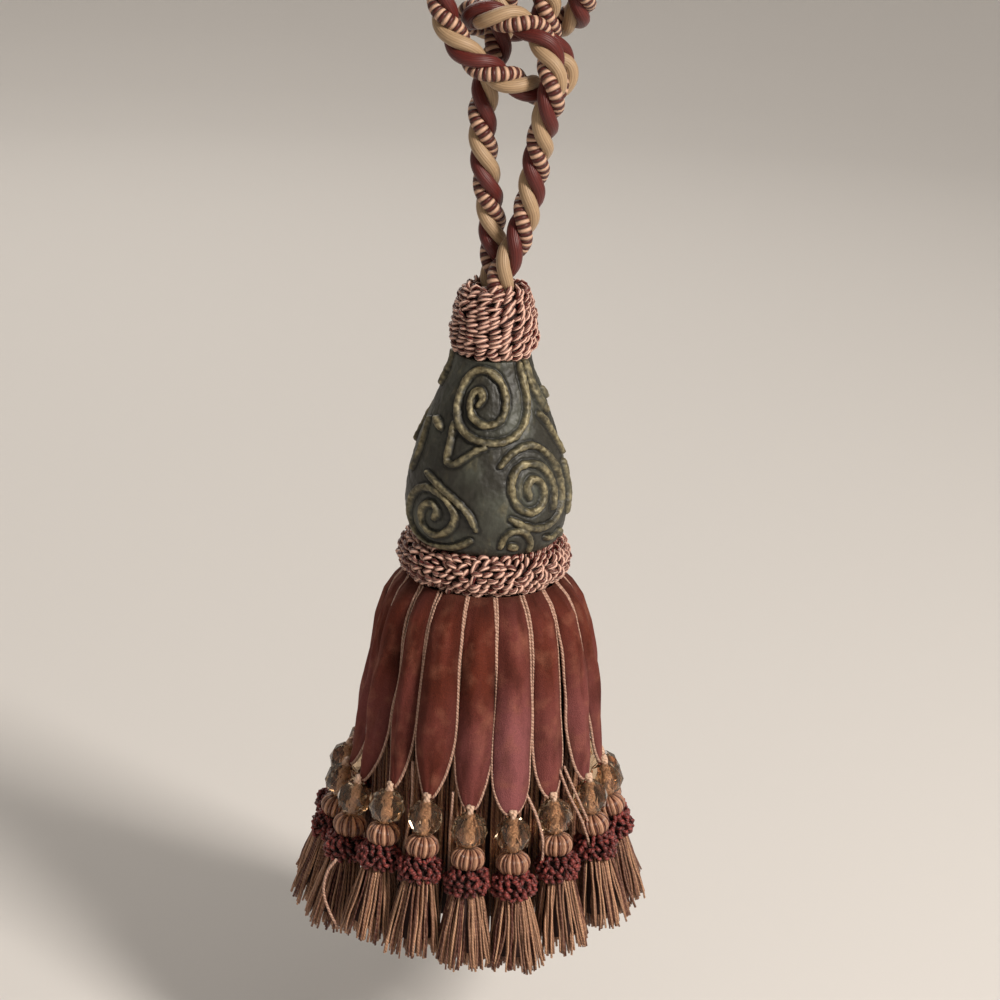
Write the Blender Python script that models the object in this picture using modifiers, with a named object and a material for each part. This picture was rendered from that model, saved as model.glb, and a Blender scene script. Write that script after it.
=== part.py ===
"""Curtain tieback tassel, hanging at rest.

A twisted rope is knotted below its loop, and both its ends run down into a wound cap on a
turned pear-shaped mould. Below the mould a wound ring hides the seam where eighteen velvet
petals and an inner skirt of yarn are sewn on. Each petal carries a glass bead, and each
bead a small tassel of its own.

Metres, +Z up. The origin is the top of the rope loop, where the tassel hangs, and the front
faces -Y. Sizes below are in millimetres unless a name says otherwise.
"""

import math
from collections import namedtuple

import bmesh
import bpy
from mathutils import Euler, Matrix, Vector

MM = 0.001
NAME = "curtain_tieback_tassel"

# Driving levels, each a height below the hanging point.
KNOT_LEVEL = -95.0
CAP_TOP = -171.5
MOULD_TOP = -194.3
RUFF_LEVEL = -263.3
BEAD_LEVEL = -342.5

# Rope
ROPE_DIAMETER = 9.2
ROPE_POINTS = 80
# The route from the foot of the left leg, up through the knot, round the loop and down the
# right leg. X and Y are from the tassel's axis and Z is from the knot's level.
ROPE_ROUTE = (
    (-0.8, 4.95, -81.5), (-0.8, 4.95, -76.0), (-1.3, 4.2, -66.5), (-2.6, 2.6, -55.0),
    (-4.6, 1.0, -43.0), (-6.2, 0.4, -31.0), (-6.8, 1.0, -21.0), (-5.6, 2.4, -11.5),
    (-3.2, 3.4, -2.5), (-2.0, 3.4, 7.0), (-1.7, 2.6, 15.5), (0.3, 1.8, 20.4),
    (4.9, 1.2, 22.3), (9.5, 1.8, 20.4), (11.5, 3.0, 14.5), (11.6, 4.2, 6.0),
    (14.4, 5.6, -1.0), (18.4, 5.4, -7.6), (15.6, 2.4, -14.2), (9.6, -2.4, -13.8),
    (4.2, -6.8, -11.2), (-2.0, -9.4, -8.4), (-10.2, -9.4, -4.0), (-16.6, -8.2, 3.0),
    (-20.6, -6.6, 12.0), (-19.2, -4.6, 23.0), (-13.6, -2.8, 34.0), (-9.6, -1.2, 45.0),
    (-12.6, -0.3, 56.0), (-18.6, 0.0, 66.5), (-16.8, 0.0, 79.0), (-9.4, 0.0, 87.6),
    (0.0, 0.0, 90.4), (9.4, 0.0, 87.6), (16.8, 0.0, 79.0), (18.6, 0.0, 66.5),
    (12.4, 0.0, 56.0), (9.0, 0.0, 45.0), (12.0, -0.4, 34.5), (18.0, -0.2, 26.0),
    (22.2, 3.0, 17.0), (21.4, 9.4, 8.6), (14.6, 14.2, 4.8), (5.4, 14.6, 3.4),
    (-4.0, 13.6, 3.2), (-11.0, 8.4, 5.4), (-11.4, 0.4, 8.4), (-6.8, -7.2, 9.4),
    (1.2, -8.8, 8.6), (8.8, -8.4, 5.2), (13.4, -9.6, -2.5), (14.6, -11.8, -12.5),
    (12.9, -8.8, -22.0), (11.4, -5.0, -31.5), (10.2, -3.0, -42.0), (8.4, -2.9, -53.0),
    (5.6, -3.8, -63.0), (2.4, -4.7, -70.0), (1.0, -4.95, -76.5), (1.0, -4.95, -81.5),
)

# Turned profiles, top to bottom. A drop is measured down from the piece's own top.
Turn = namedtuple("Turn", "radius drop")
CAP_PROFILE = (
    Turn(0.0, 5.4), Turn(10.2, 5.4), Turn(10.2, 0.0), Turn(11.4, 1.2), Turn(12.8, 4.6),
    Turn(13.3, 9.5), Turn(13.3, 15.5), Turn(12.8, 19.6), Turn(11.6, 22.5), Turn(0.0, 22.5),
)
MOULD_PROFILE = (
    Turn(0.0, 0.0), Turn(12.4, 0.0), Turn(13.6, 4.7), Turn(16.0, 10.2), Turn(18.4, 16.2),
    Turn(21.2, 23.4), Turn(23.8, 30.7), Turn(26.0, 38.7), Turn(27.1, 46.2), Turn(27.0, 52.7),
    Turn(26.2, 57.7), Turn(24.8, 61.2), Turn(23.6, 62.1), Turn(14.2, 62.1), Turn(14.2, 76.0),
    Turn(0.0, 76.0),
)
RUFF_RADIUS = 21.3
RUFF_TUBE = 6.5

# Inner skirt: one bundle of yarn, fluted, with a comb along its foot.
SKIRT_TOP = -271.2
SKIRT_PROFILE = (
    Turn(0.0, 0.0), Turn(20.0, 0.0), Turn(25.6, 3.6), Turn(29.4, 9.8), Turn(32.0, 20.8),
    Turn(34.0, 33.8), Turn(35.4, 48.8), Turn(36.2, 63.8), Turn(36.4, 89.8), Turn(38.2, 116.0),
    Turn(0.0, 113.5),
)
SKIRT_STEPS = 36
SKIRT_FLUTE = 0.7
SKIRT_TOOTH = 2.6

# Petals: sheets on the cone of the skirt. A row gives how far down the petal it lies, its
# distance from the axis, its width and how far its edges curl in.
Row = namedtuple("Row", "down radius width curl")
PETAL_TOP = -270.4
PETAL_LENGTH = 66.0
PETAL_THICKNESS = 1.3
PETAL_ROWS = (
    Row(0.00, 26.2, 7.4, 0.0), Row(0.08, 31.0, 9.0, 0.2), Row(0.20, 34.2, 10.1, 0.4),
    Row(0.44, 37.0, 11.1, 0.6), Row(0.68, 39.1, 11.9, 0.7), Row(0.84, 40.5, 11.2, 0.6),
    Row(0.94, 41.9, 7.6, 0.3), Row(1.00, 43.2, 2.4, 0.0),
)
PETAL_COLUMNS = 4
PETAL_WAVE = 0.5

# Pendants, from the front one round to the right. Each row is one petal with its bead and
# small tassel: the turn from its even place, how much lower it hangs, how far it stands out.
Pendant = namedtuple("Pendant", "swing drop reach")
PENDANTS = (
    Pendant(-0.5, 0.5, 0.0), Pendant(-2.0, 2.4, 0.3), Pendant(-2.3, -1.2, -0.2),
    Pendant(0.0, -2.8, 0.4), Pendant(0.2, -2.8, 0.6), Pendant(-0.8, 0.4, 0.0),
    Pendant(0.6, 1.8, 0.3), Pendant(-0.4, -1.6, 0.0), Pendant(0.9, 0.8, -0.2),
    Pendant(-0.6, 2.2, 0.2), Pendant(0.4, -0.6, 0.4), Pendant(0.9, -1.8, 0.0),
    Pendant(-0.7, 1.2, 0.3), Pendant(0.3, 2.0, 0.0), Pendant(0.0, 2.6, 0.2),
    Pendant(-0.6, 2.2, 0.2), Pendant(1.8, -2.0, 0.0), Pendant(0.4, -1.8, -0.2),
)
PENDANT_LEAN = math.radians(9.0)

BEAD_RING = 45.0
BEAD_DIAMETER = 12.0

# Small tassels: a ribbed ball, a looped ruff and a skirt of yarn, in one turned comb. A drop
# is measured down from the bead's middle.
MINI_PROFILE = (
    Turn(0.0, 6.4), Turn(3.4, 6.9), Turn(5.6, 10.4), Turn(4.4, 14.4), Turn(6.6, 15.6),
    Turn(7.4, 18.6), Turn(6.3, 22.2), Turn(7.0, 31.0), Turn(8.0, 46.0), Turn(0.0, 40.0),
)
MINI_STEPS = 10
MINI_TOOTH = 1.8
MINI_SKIRT_ROWS = 2


def finish(name, colour, roughness, metallic=0.0):
    """A Principled material of one colour."""
    material = bpy.data.materials.new(name)
    material.use_nodes = True
    shader = material.node_tree.nodes["Principled BSDF"]
    shader.inputs["Base Color"].default_value = (*colour, 1.0)
    shader.inputs["Roughness"].default_value = roughness
    shader.inputs["Metallic"].default_value = metallic
    return material


def place(name, data, material, collection):
    """A new object of this data, with its finish, in the tassel's collection."""
    if not data.materials:
        data.materials.append(material)
    piece = bpy.data.objects.new(name, data)
    collection.objects.link(piece)
    return piece


def shaded(mesh, sharp_from=40.0):
    """The mesh shaded smooth, with its hard edges kept."""
    mesh.shade_smooth()
    mesh.set_sharp_from_angle(angle=math.radians(sharp_from))
    return mesh


def turned(name, profile, top, steps, collection, material):
    """A profile turned once round the tassel's axis by a Screw modifier."""
    mesh = bpy.data.meshes.new(name)
    points = [(turn.radius * MM, 0.0, (top - turn.drop) * MM) for turn in profile]
    mesh.from_pydata(points, [(i, i + 1) for i in range(len(points) - 1)], [])
    piece = place(name, mesh, material, collection)
    screw = piece.modifiers.new("turn", "SCREW")
    screw.steps = steps
    screw.render_steps = steps
    screw.use_merge_vertices = True
    screw.merge_threshold = 1e-5
    return piece


def spun(name, profile, steps):
    """A closed mesh of a profile spun round Z, its drops running down from Z = 0."""
    shape = bmesh.new()
    line = [shape.verts.new((turn.radius * MM, 0.0, -turn.drop * MM)) for turn in profile]
    edges = [shape.edges.new(pair) for pair in zip(line, line[1:])]
    bmesh.ops.spin(
        shape, geom=line + edges, cent=(0, 0, 0), axis=(0, 0, 1),
        angle=2 * math.pi, steps=steps, use_merge=True,
    )
    bmesh.ops.remove_doubles(shape, verts=shape.verts, dist=1e-6)
    bmesh.ops.recalc_face_normals(shape, faces=shape.faces)
    mesh = bpy.data.meshes.new(name)
    shape.to_mesh(mesh)
    shape.free()
    return mesh


def flute(mesh, first_drop, steps, depth, tooth, foot_drop):
    """Pleats a spun mesh below first_drop, and cuts its foot into the teeth of a comb."""
    for vertex in mesh.vertices:
        radius = math.hypot(vertex.co.x, vertex.co.y)
        if radius < 1e-6 or -vertex.co.z < first_drop * MM:
            continue
        turn = math.atan2(vertex.co.y, vertex.co.x) / (2 * math.pi) * steps
        side = 1 if round(turn) % 2 else -1
        scale = 1 + side * depth * MM / radius
        if -vertex.co.z > (foot_drop - 0.5) * MM:
            vertex.co.z -= side * tooth / 2 * MM
        vertex.co.x *= scale
        vertex.co.y *= scale


def curve_through(points, count):
    """count points, evenly spaced, on a centripetal Catmull-Rom curve through points."""
    ends = [2 * points[0] - points[1], *points, 2 * points[-1] - points[-2]]
    fine = []
    for p0, p1, p2, p3 in zip(ends, ends[1:], ends[2:], ends[3:]):
        t1 = (p1 - p0).length ** 0.5
        t2 = t1 + (p2 - p1).length ** 0.5
        t3 = t2 + (p3 - p2).length ** 0.5
        for step in range(16):
            t = t1 + (t2 - t1) * step / 16
            a1 = p0.lerp(p1, t / t1)
            a2 = p1.lerp(p2, (t - t1) / (t2 - t1))
            a3 = p2.lerp(p3, (t - t2) / (t3 - t2))
            b1 = a1.lerp(a2, t / t2)
            b2 = a2.lerp(a3, (t - t1) / (t3 - t1))
            fine.append(b1.lerp(b2, (t - t1) / (t2 - t1)))
    fine.append(points[-1])
    run = [0.0]
    for a, b in zip(fine, fine[1:]):
        run.append(run[-1] + (b - a).length)
    spaced = []
    place_at = 0
    for index in range(count):
        wanted = run[-1] * index / (count - 1)
        while place_at < len(run) - 2 and run[place_at + 1] < wanted:
            place_at += 1
        share = (wanted - run[place_at]) / (run[place_at + 1] - run[place_at])
        spaced.append(fine[place_at].lerp(fine[place_at + 1], share))
    return spaced


def make_rope(collection, material):
    """The knotted rope as one plain tube, from inside the cap round the loop and back."""
    route = [Vector((x, y, z + KNOT_LEVEL)) * MM for x, y, z in ROPE_ROUTE]
    curve = bpy.data.curves.new("hanging_rope", "CURVE")
    curve.dimensions = "3D"
    curve.bevel_depth = ROPE_DIAMETER / 2 * MM
    curve.bevel_resolution = 2
    curve.use_fill_caps = True
    line = curve.splines.new("POLY")
    line.points.add(ROPE_POINTS - 1)
    for point, spot in zip(line.points, curve_through(route, ROPE_POINTS)):
        point.co = (*spot, 1.0)
    place("hanging_rope", curve, material, collection)


def make_ruff(collection, material):
    """The thick ring of wound loops under the mould."""
    bpy.ops.mesh.primitive_torus_add(
        major_segments=24, minor_segments=8, major_radius=RUFF_RADIUS * MM,
        minor_radius=RUFF_TUBE * MM, location=(0, 0, RUFF_LEVEL * MM),
    )
    torus = bpy.context.object
    mesh = torus.data
    bpy.data.objects.remove(torus)
    mesh.name = "base_ruff"
    ring = place("base_ruff", shaded(mesh), material, collection)
    ring.location.z = RUFF_LEVEL * MM


def make_inner_skirt(collection, material):
    """The bundle of long yarn that hangs inside the petals."""
    mesh = spun("inner_skirt", SKIRT_PROFILE, SKIRT_STEPS)
    foot = max(turn.drop for turn in SKIRT_PROFILE)
    flute(mesh, SKIRT_PROFILE[4].drop, SKIRT_STEPS, SKIRT_FLUTE, SKIRT_TOOTH, foot)
    skirt = place("inner_skirt", shaded(mesh), material, collection)
    skirt.location.z = SKIRT_TOP * MM


def petal_mesh(name, pendant, heading):
    """One velvet petal as an open sheet on the skirt's cone, before its thickness."""
    shape = bmesh.new()
    bmesh.ops.create_grid(
        shape, x_segments=PETAL_COLUMNS, y_segments=len(PETAL_ROWS) - 1, size=1.0
    )
    length = PETAL_LENGTH + pendant.drop
    for vertex in shape.verts:
        across = vertex.co.x
        index = round((1 - vertex.co.y) / 2 * (len(PETAL_ROWS) - 1))
        row = PETAL_ROWS[index]
        radius = row.radius + pendant.reach * row.down - row.curl * across**2
        radius += PETAL_WAVE * math.sin(9 * heading + 7 * row.down) * row.down * (1 - row.down)
        swing = math.radians(pendant.swing) * row.down
        turn = heading + swing + across * row.width / 2 / row.radius
        height = PETAL_TOP - length * row.down
        vertex.co = Vector((radius * math.sin(turn), -radius * math.cos(turn), height)) * MM
    mesh = bpy.data.meshes.new(name)
    shape.to_mesh(mesh)
    shape.free()
    return shaded(mesh)


def make_petals(collection, material):
    """The velvet petals, side by side round the skirt."""
    for index, pendant in enumerate(PENDANTS):
        name = f"petal_{index + 1:02d}"
        heading = index * 2 * math.pi / len(PENDANTS)
        petal = place(name, petal_mesh(name, pendant, heading), material, collection)
        wall = petal.modifiers.new("velvet", "SOLIDIFY")
        wall.thickness = PETAL_THICKNESS * MM
        wall.offset = 0.0


def pendant_place(index, pendant):
    """Where a pendant's bead has its middle, leaning out from the axis."""
    heading = index * 2 * math.pi / len(PENDANTS) + math.radians(pendant.swing)
    ring = BEAD_RING + pendant.reach
    height = BEAD_LEVEL - pendant.drop
    spot = Vector((ring * math.sin(heading), -ring * math.cos(heading), height))
    lean = Euler((-PENDANT_LEAN, 0.0, heading)).to_matrix().to_4x4()
    return Matrix.Translation(spot * MM) @ lean


def make_beads(collection, material):
    """A faceted glass bead under each petal's tip."""
    shape = bmesh.new()
    bmesh.ops.create_uvsphere(shape, u_segments=8, v_segments=4, radius=BEAD_DIAMETER / 2 * MM)
    mesh = bpy.data.meshes.new("bead")
    shape.to_mesh(mesh)
    shape.free()
    for index, pendant in enumerate(PENDANTS):
        bead = place(f"bead_{index + 1:02d}", mesh, material, collection)
        bead.matrix_world = pendant_place(index, pendant)


def make_mini_tassels(collection, material):
    """The small tassel under each bead: ball, ruff and skirt in one turned comb."""
    mesh = spun("mini_tassel", MINI_PROFILE, MINI_STEPS)
    foot = max(turn.drop for turn in MINI_PROFILE)
    skirt_top = MINI_PROFILE[-1 - MINI_SKIRT_ROWS].drop - 0.1
    flute(mesh, skirt_top, MINI_STEPS, 0.0, MINI_TOOTH, foot)
    shaded(mesh)
    for index, pendant in enumerate(PENDANTS):
        tassel = place(f"mini_tassel_{index + 1:02d}", mesh, material, collection)
        tassel.matrix_world = pendant_place(index, pendant)


def main():
    """Builds the tassel in a collection of its own."""
    for old in list(bpy.data.objects):
        bpy.data.objects.remove(old)
    collection = bpy.data.collections.new(NAME)
    bpy.context.scene.collection.children.link(collection)

    rope = finish("rope yarn", (0.34, 0.15, 0.09), 0.6)
    loops = finish("looped gimp", (0.30, 0.10, 0.08), 0.7)
    gilt = finish("dark gilded mould", (0.07, 0.06, 0.035), 0.5)
    velvet = finish("rose velvet", (0.27, 0.09, 0.07), 0.85)
    glass = finish("champagne glass", (0.62, 0.52, 0.38), 0.08)
    yarn = finish("skirt yarn", (0.24, 0.13, 0.07), 0.65)

    make_rope(collection, rope)
    turned("neck_cap", CAP_PROFILE, CAP_TOP, 20, collection, loops)
    turned("mould", MOULD_PROFILE, MOULD_TOP, 24, collection, gilt)
    make_ruff(collection, loops)
    make_inner_skirt(collection, yarn)
    make_petals(collection, velvet)
    make_beads(collection, glass)
    make_mini_tassels(collection, yarn)


main()
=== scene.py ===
"""Curtain tieback tassel: twisted rope, looped gimp, gilt scrolls, velvet, glass and yarn.

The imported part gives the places; each class below makes one sub-assembly around it. Sizes in
the classes are millimetres in the part's own frame, and become metres where a mesh is made.
"""

from __future__ import annotations

import logging
import math
import random
from collections.abc import Callable, Sequence
from dataclasses import dataclass, field
from enum import Enum

import bmesh
import bpy
import numpy as np
from mathutils import Euler, Matrix, Vector, noise
from mathutils.kdtree import KDTree


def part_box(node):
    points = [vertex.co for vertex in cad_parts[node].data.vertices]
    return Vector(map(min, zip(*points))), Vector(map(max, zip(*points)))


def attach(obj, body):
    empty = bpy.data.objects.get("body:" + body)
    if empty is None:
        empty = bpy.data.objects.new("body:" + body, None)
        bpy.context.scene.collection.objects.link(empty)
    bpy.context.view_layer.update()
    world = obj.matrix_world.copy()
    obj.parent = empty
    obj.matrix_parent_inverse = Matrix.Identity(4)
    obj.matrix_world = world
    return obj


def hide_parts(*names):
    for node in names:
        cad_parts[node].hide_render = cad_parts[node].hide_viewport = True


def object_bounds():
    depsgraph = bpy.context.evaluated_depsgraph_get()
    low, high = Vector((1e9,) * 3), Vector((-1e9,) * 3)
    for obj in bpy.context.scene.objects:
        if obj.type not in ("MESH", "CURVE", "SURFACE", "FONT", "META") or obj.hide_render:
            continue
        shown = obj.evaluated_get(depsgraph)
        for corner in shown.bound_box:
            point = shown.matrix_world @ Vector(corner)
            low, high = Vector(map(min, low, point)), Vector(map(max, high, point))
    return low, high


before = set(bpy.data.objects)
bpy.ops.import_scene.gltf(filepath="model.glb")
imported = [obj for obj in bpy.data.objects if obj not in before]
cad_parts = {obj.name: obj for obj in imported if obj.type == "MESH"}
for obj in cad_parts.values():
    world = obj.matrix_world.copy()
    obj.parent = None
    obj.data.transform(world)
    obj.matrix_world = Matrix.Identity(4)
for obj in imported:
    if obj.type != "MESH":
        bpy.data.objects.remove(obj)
CAD_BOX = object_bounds()

MM = 0.001
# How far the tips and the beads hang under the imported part's, in millimetres.
SAG = 1.0
PENDANT_COUNT = 18
GOLDEN_ANGLE = 2.39996
LOG = logging.getLogger("tassel")

Colour = tuple[float, float, float]
Place = tuple[float, float, float]
Station = tuple[float, float]


class Slot(Enum):
    """The record's material slots."""

    ROPE = "rope"
    GIMP = "gimp"
    MOULD = "mould"
    VELVET = "velvet"
    GLASS = "glass"
    YARN = "yarn"


def dye(red: int, green: int, blue: int) -> Colour:
    """A colour as the eye reads it, 0 to 255, made linear for a shader."""

    def linear(part: int) -> float:
        """One part of it, made linear."""
        share = part / 255
        return share / 12.92 if share <= 0.04045 else ((share + 0.055) / 1.055) ** 2.4

    return linear(red), linear(green), linear(blue)


# ---------------------------------------------------------------- materials


class Value:
    """A number in a material, whose operators add Math nodes."""

    def __init__(self, bench: Bench, socket: bpy.types.NodeSocket) -> None:
        """Wraps a socket of the bench's tree."""
        self.bench = bench
        self.socket = socket

    def maths(self, operation: str, *others: Value | float, clamp: bool = False) -> Value:
        """This value with others through one Math node.

        Args:
            operation: The node's operation.
            others: Its second and third operands.
            clamp: Whether the result stays from 0 to 1.

        Returns:
            The result.
        """
        return self.bench.maths(operation, self, *others, clamp=clamp)

    def __add__(self, other: Value | float) -> Value:
        """Sum."""
        return self.maths("ADD", other)

    def __radd__(self, other: float) -> Value:
        """Sum, from the right."""
        return self.maths("ADD", other)

    def __sub__(self, other: Value | float) -> Value:
        """Difference."""
        return self.maths("SUBTRACT", other)

    def __rsub__(self, other: float) -> Value:
        """Difference, from the right."""
        return self.bench.maths("SUBTRACT", other, self)

    def __mul__(self, other: Value | float) -> Value:
        """Product."""
        return self.maths("MULTIPLY", other)

    def __rmul__(self, other: float) -> Value:
        """Product, from the right."""
        return self.maths("MULTIPLY", other)

    def __pow__(self, power: float) -> Value:
        """Power."""
        return self.maths("POWER", power)

    def __abs__(self) -> Value:
        """Size without its sign."""
        return self.maths("ABSOLUTE")

    def sine(self) -> Value:
        """Sine of this many whole turns."""
        return (self * (2 * math.pi)).maths("SINE")

    def held(self) -> Value:
        """Kept from 0 to 1."""
        return self.maths("ADD", 0.0, clamp=True)

    def step(self, low: float, high: float) -> Value:
        """0 below low, 1 above high, straight between them."""
        return self.maths("MULTIPLY_ADD", 1 / (high - low), -low / (high - low), clamp=True)


class Bench:
    """One material being made: its tree, and the few ways in which nodes are added."""

    def __init__(self, name: str) -> None:
        """Starts a material with a lone Principled shader."""
        self.material = bpy.data.materials.new(name)
        self.material.use_nodes = True
        self.tree = self.material.node_tree
        self.shader = self.tree.nodes["Principled BSDF"]

    def node(
        self, kind: str, settings: dict | None = None, sockets: dict | None = None
    ) -> bpy.types.Node:
        """Adds a node.

        Args:
            kind: The node's type.
            settings: Its own properties, set first.
            sockets: Values or links of its inputs, by name or place.

        Returns:
            The node.
        """
        made = self.tree.nodes.new(kind)
        for key, setting in (settings or {}).items():
            setattr(made, key, setting)
        for key, value in (sockets or {}).items():
            self.feed(made.inputs[key], value)
        return made

    def feed(self, socket: bpy.types.NodeSocket, value: object) -> None:
        """Links a value or a socket to an input, or sets a plain number or colour on it."""
        if isinstance(value, Value):
            value = value.socket
        if isinstance(value, bpy.types.NodeSocket):
            self.tree.links.new(value, socket)
        elif isinstance(value, tuple) and socket.type == "RGBA":
            socket.default_value = (*value[:3], 1.0)
        else:
            socket.default_value = value

    def maths(self, operation: str, *operands: Value | float, clamp: bool = False) -> Value:
        """One Math node on up to three operands."""
        settings = {"operation": operation, "use_clamp": clamp}
        made = self.node("ShaderNodeMath", settings, dict(enumerate(operands)))
        return Value(self, made.outputs[0])

    def stretched(self, place: bpy.types.NodeSocket, stretch: Colour) -> bpy.types.NodeSocket:
        """Coordinates scaled along each axis."""
        return self.node("ShaderNodeMapping", {}, {"Vector": place, "Scale": stretch}).outputs[0]

    def here(self, stretch: Colour = (1.0, 1.0, 1.0)) -> bpy.types.NodeSocket:
        """The piece's own coordinates, scaled along each axis."""
        return self.stretched(self.node("ShaderNodeTexCoord").outputs["Object"], stretch)

    def noise(self, where: bpy.types.NodeSocket, scale: float, detail: float = 2.0) -> Value:
        """Noise from 0 to 1, scale bumps to a metre, or to a unit of where."""
        made = self.node(
            "ShaderNodeTexNoise", {}, {"Vector": where, "Scale": scale, "Detail": detail}
        )
        return Value(self, made.outputs["Fac"])

    def map(self) -> tuple[bpy.types.NodeSocket, Value, Value]:
        """The piece's own map, and its two parts."""
        whole = self.node("ShaderNodeTexCoord").outputs["UV"]
        parts = self.node("ShaderNodeSeparateXYZ", {}, {0: whole}).outputs
        return whole, Value(self, parts[0]), Value(self, parts[1])

    def painted(self, name: str) -> Value:
        """A number that the mesh carries at its points."""
        made = self.node("ShaderNodeAttribute", {"attribute_name": name})
        return Value(self, made.outputs["Fac"])

    def between(self, share: Value | float, first: object, second: object) -> bpy.types.NodeSocket:
        """Two colours mixed."""
        sockets = {0: share, 6: first, 7: second}
        return self.node("ShaderNodeMix", {"data_type": "RGBA"}, sockets).outputs[2]

    def darkened(self, colour: object, share: Value) -> bpy.types.NodeSocket:
        """A colour times a share."""
        grey = self.node("ShaderNodeCombineXYZ", {}, {0: share, 1: share, 2: share}).outputs[0]
        settings = {"data_type": "RGBA", "blend_type": "MULTIPLY"}
        return self.node("ShaderNodeMix", settings, {0: 1.0, 6: colour, 7: grey}).outputs[2]

    def bump(self, height: Value, depth: float) -> bpy.types.NodeSocket:
        """A normal raised by height, whose full depth is in millimetres."""
        sockets = {"Height": height, "Distance": depth * MM, "Strength": 1.0}
        return self.node("ShaderNodeBump", {}, sockets).outputs[0]

    def finish(self, **sockets: object) -> bpy.types.Material:
        """Sets the shader's sockets, named with underscores, and gives the material."""
        for key, value in sockets.items():
            name = key.replace("_", " ").title().replace("Ior", "IOR")
            self.feed(self.shader.inputs[name], value)
        return self.material


@dataclass(frozen=True)
class YarnFinish:
    """Twisted yarn. Its map's first part runs along in millimetres, its second once round."""

    name: str
    pale: Colour
    deep: Colour
    pairs: int
    pitch: float
    banding: float
    # How much painted shade darkens the creases between the plies.
    crease_shade: float
    depth: float
    roughness: float
    sheen: float

    def material(self) -> bpy.types.Material:
        """The material: plies that spiral round, each yarn with its own shade, and painted shade in
        the creases between the plies.
        """
        bench = Bench(self.name)
        _, along, turned = bench.map()
        wave = (turned * self.pairs + along * self.pitch).sine()
        ridge = abs(wave) ** 0.55
        shade = bench.painted("shade")
        speck = bench.noise(bench.here(), 900.0)
        ply = (wave + speck * 0.3 - 0.15).step(-0.35, 0.35)
        share = (shade * (1 - self.banding) + ply * self.banding + speck * 0.24 - 0.12).held()
        colour = bench.between(share, self.deep, self.pale)
        # Painted shade in the creases between the plies.
        colour = bench.darkened(colour, ridge * self.crease_shade + (1 - self.crease_shade))
        return bench.finish(
            base_color=colour,
            roughness=(speck * 0.16 + (self.roughness - 0.08)).held(),
            sheen_weight=self.sheen,
            sheen_roughness=0.4,
            specular_ior_level=0.4,
            normal=bench.bump(ridge, self.depth),
        )


@dataclass(frozen=True)
class GiltFinish:
    """Dark green-black paint, with antique gold rubbed over whatever stands proud, and painted
    shade in the sunk line round each scroll.
    """

    name: str = "gilded mould"
    paint: Colour = dye(38, 36, 28)
    bloom: Colour = dye(68, 70, 60)
    gold: Colour = dye(160, 149, 116)
    dark_gold: Colour = dye(84, 74, 50)

    def material(self) -> bpy.types.Material:
        """The material, which reads how proud the surface stands from ridge and groove, and darkens
        the groove as painted shade.
        """
        bench = Bench(self.name)
        here = bench.here()
        ridge = bench.painted("ridge")
        # The sunk line round each scroll, darkened below as painted shade.
        groove = bench.painted("groove")
        cloud = bench.noise(here, 75.0, 4.0)
        grit = bench.noise(here, 620.0, 3.0)
        strokes = bench.noise(bench.here((1.0, 1.0, 0.35)), 330.0, 4.0)
        ground = bench.between(cloud.step(0.42, 0.68), self.paint, self.bloom)
        rubbed = bench.between(grit.step(0.35, 0.7), self.dark_gold, self.gold)
        stray = strokes.step(0.56, 0.78) * cloud.step(0.38, 0.6) * 0.5
        worn = bench.noise(here, 190.0, 3.0)
        gilded = (ridge * (grit * 0.8 + worn.step(0.35, 0.62) * 0.75 - 0.12) + stray).held()
        colour = bench.between(gilded, ground, rubbed)
        # Painted shade in the sunk line round each scroll.
        colour = bench.darkened(colour, (1 - groove * 0.78).held())
        relief = bench.bump(strokes * 0.5 + grit * 0.3 + worn * 0.35, 0.6)
        return bench.finish(
            base_color=colour,
            metallic=(gilded * 0.3).held(),
            roughness=(0.42 + grit * 0.22).held(),
            normal=relief,
        )


@dataclass(frozen=True)
class VelvetFinish:
    """Short-piled velvet with pale patches of painted highlight and streaks of painted shade. Its
    map is in millimetres across and down.
    """

    name: str = "rose velvet"
    rust: Colour = dye(92, 38, 24)
    rose: Colour = dye(132, 76, 76)
    # Pale patches of painted highlight on the pile.
    rubbed: Colour = dye(150, 94, 74)
    # Painted shade, laid in dark streaks down the velvet.
    deep: Colour = dye(50, 15, 8)

    def material(self) -> bpy.types.Material:
        """The material: hue from the point's shade, a nap brushed this way and that, pale patches
        of painted highlight, and painted shade in dark streaks, at the edges and at the top.
        """
        bench = Bench(self.name)
        flat, _, _ = bench.map()
        here = bench.here()
        shade = bench.painted("shade")
        nap = bench.noise(bench.stretched(flat, (0.19, 0.06, 1.0)), 1.0, 5.0)
        patch = bench.noise(here, 150.0, 6.0)
        pile = bench.noise(here, 2600.0, 2.0)
        colour = bench.between((shade + nap * 0.5 - 0.25).held(), self.rust, self.rose)
        # Painted highlight: pale patches on the pile.
        colour = bench.between(patch.step(0.5, 0.76) * 0.5, colour, self.rubbed)
        # Painted shade: dark streaks along the nap.
        colour = bench.between((1 - nap).step(0.5, 0.75) * 0.6, colour, self.deep)
        # Painted shade at the edges and the top, from the edge attribute.
        colour = bench.darkened(colour, (pile * 0.9 + 0.55) * (1 - bench.painted("edge") * 0.45))
        return bench.finish(
            base_color=colour,
            roughness=(0.78 + pile * 0.2).held(),
            specular_ior_level=0.2,
            sheen_weight=0.18,
            sheen_roughness=0.3,
            sheen_tint=dye(214, 140, 112),
            normal=bench.bump(pile * 0.45 + patch * 0.9, 0.7),
        )


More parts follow.
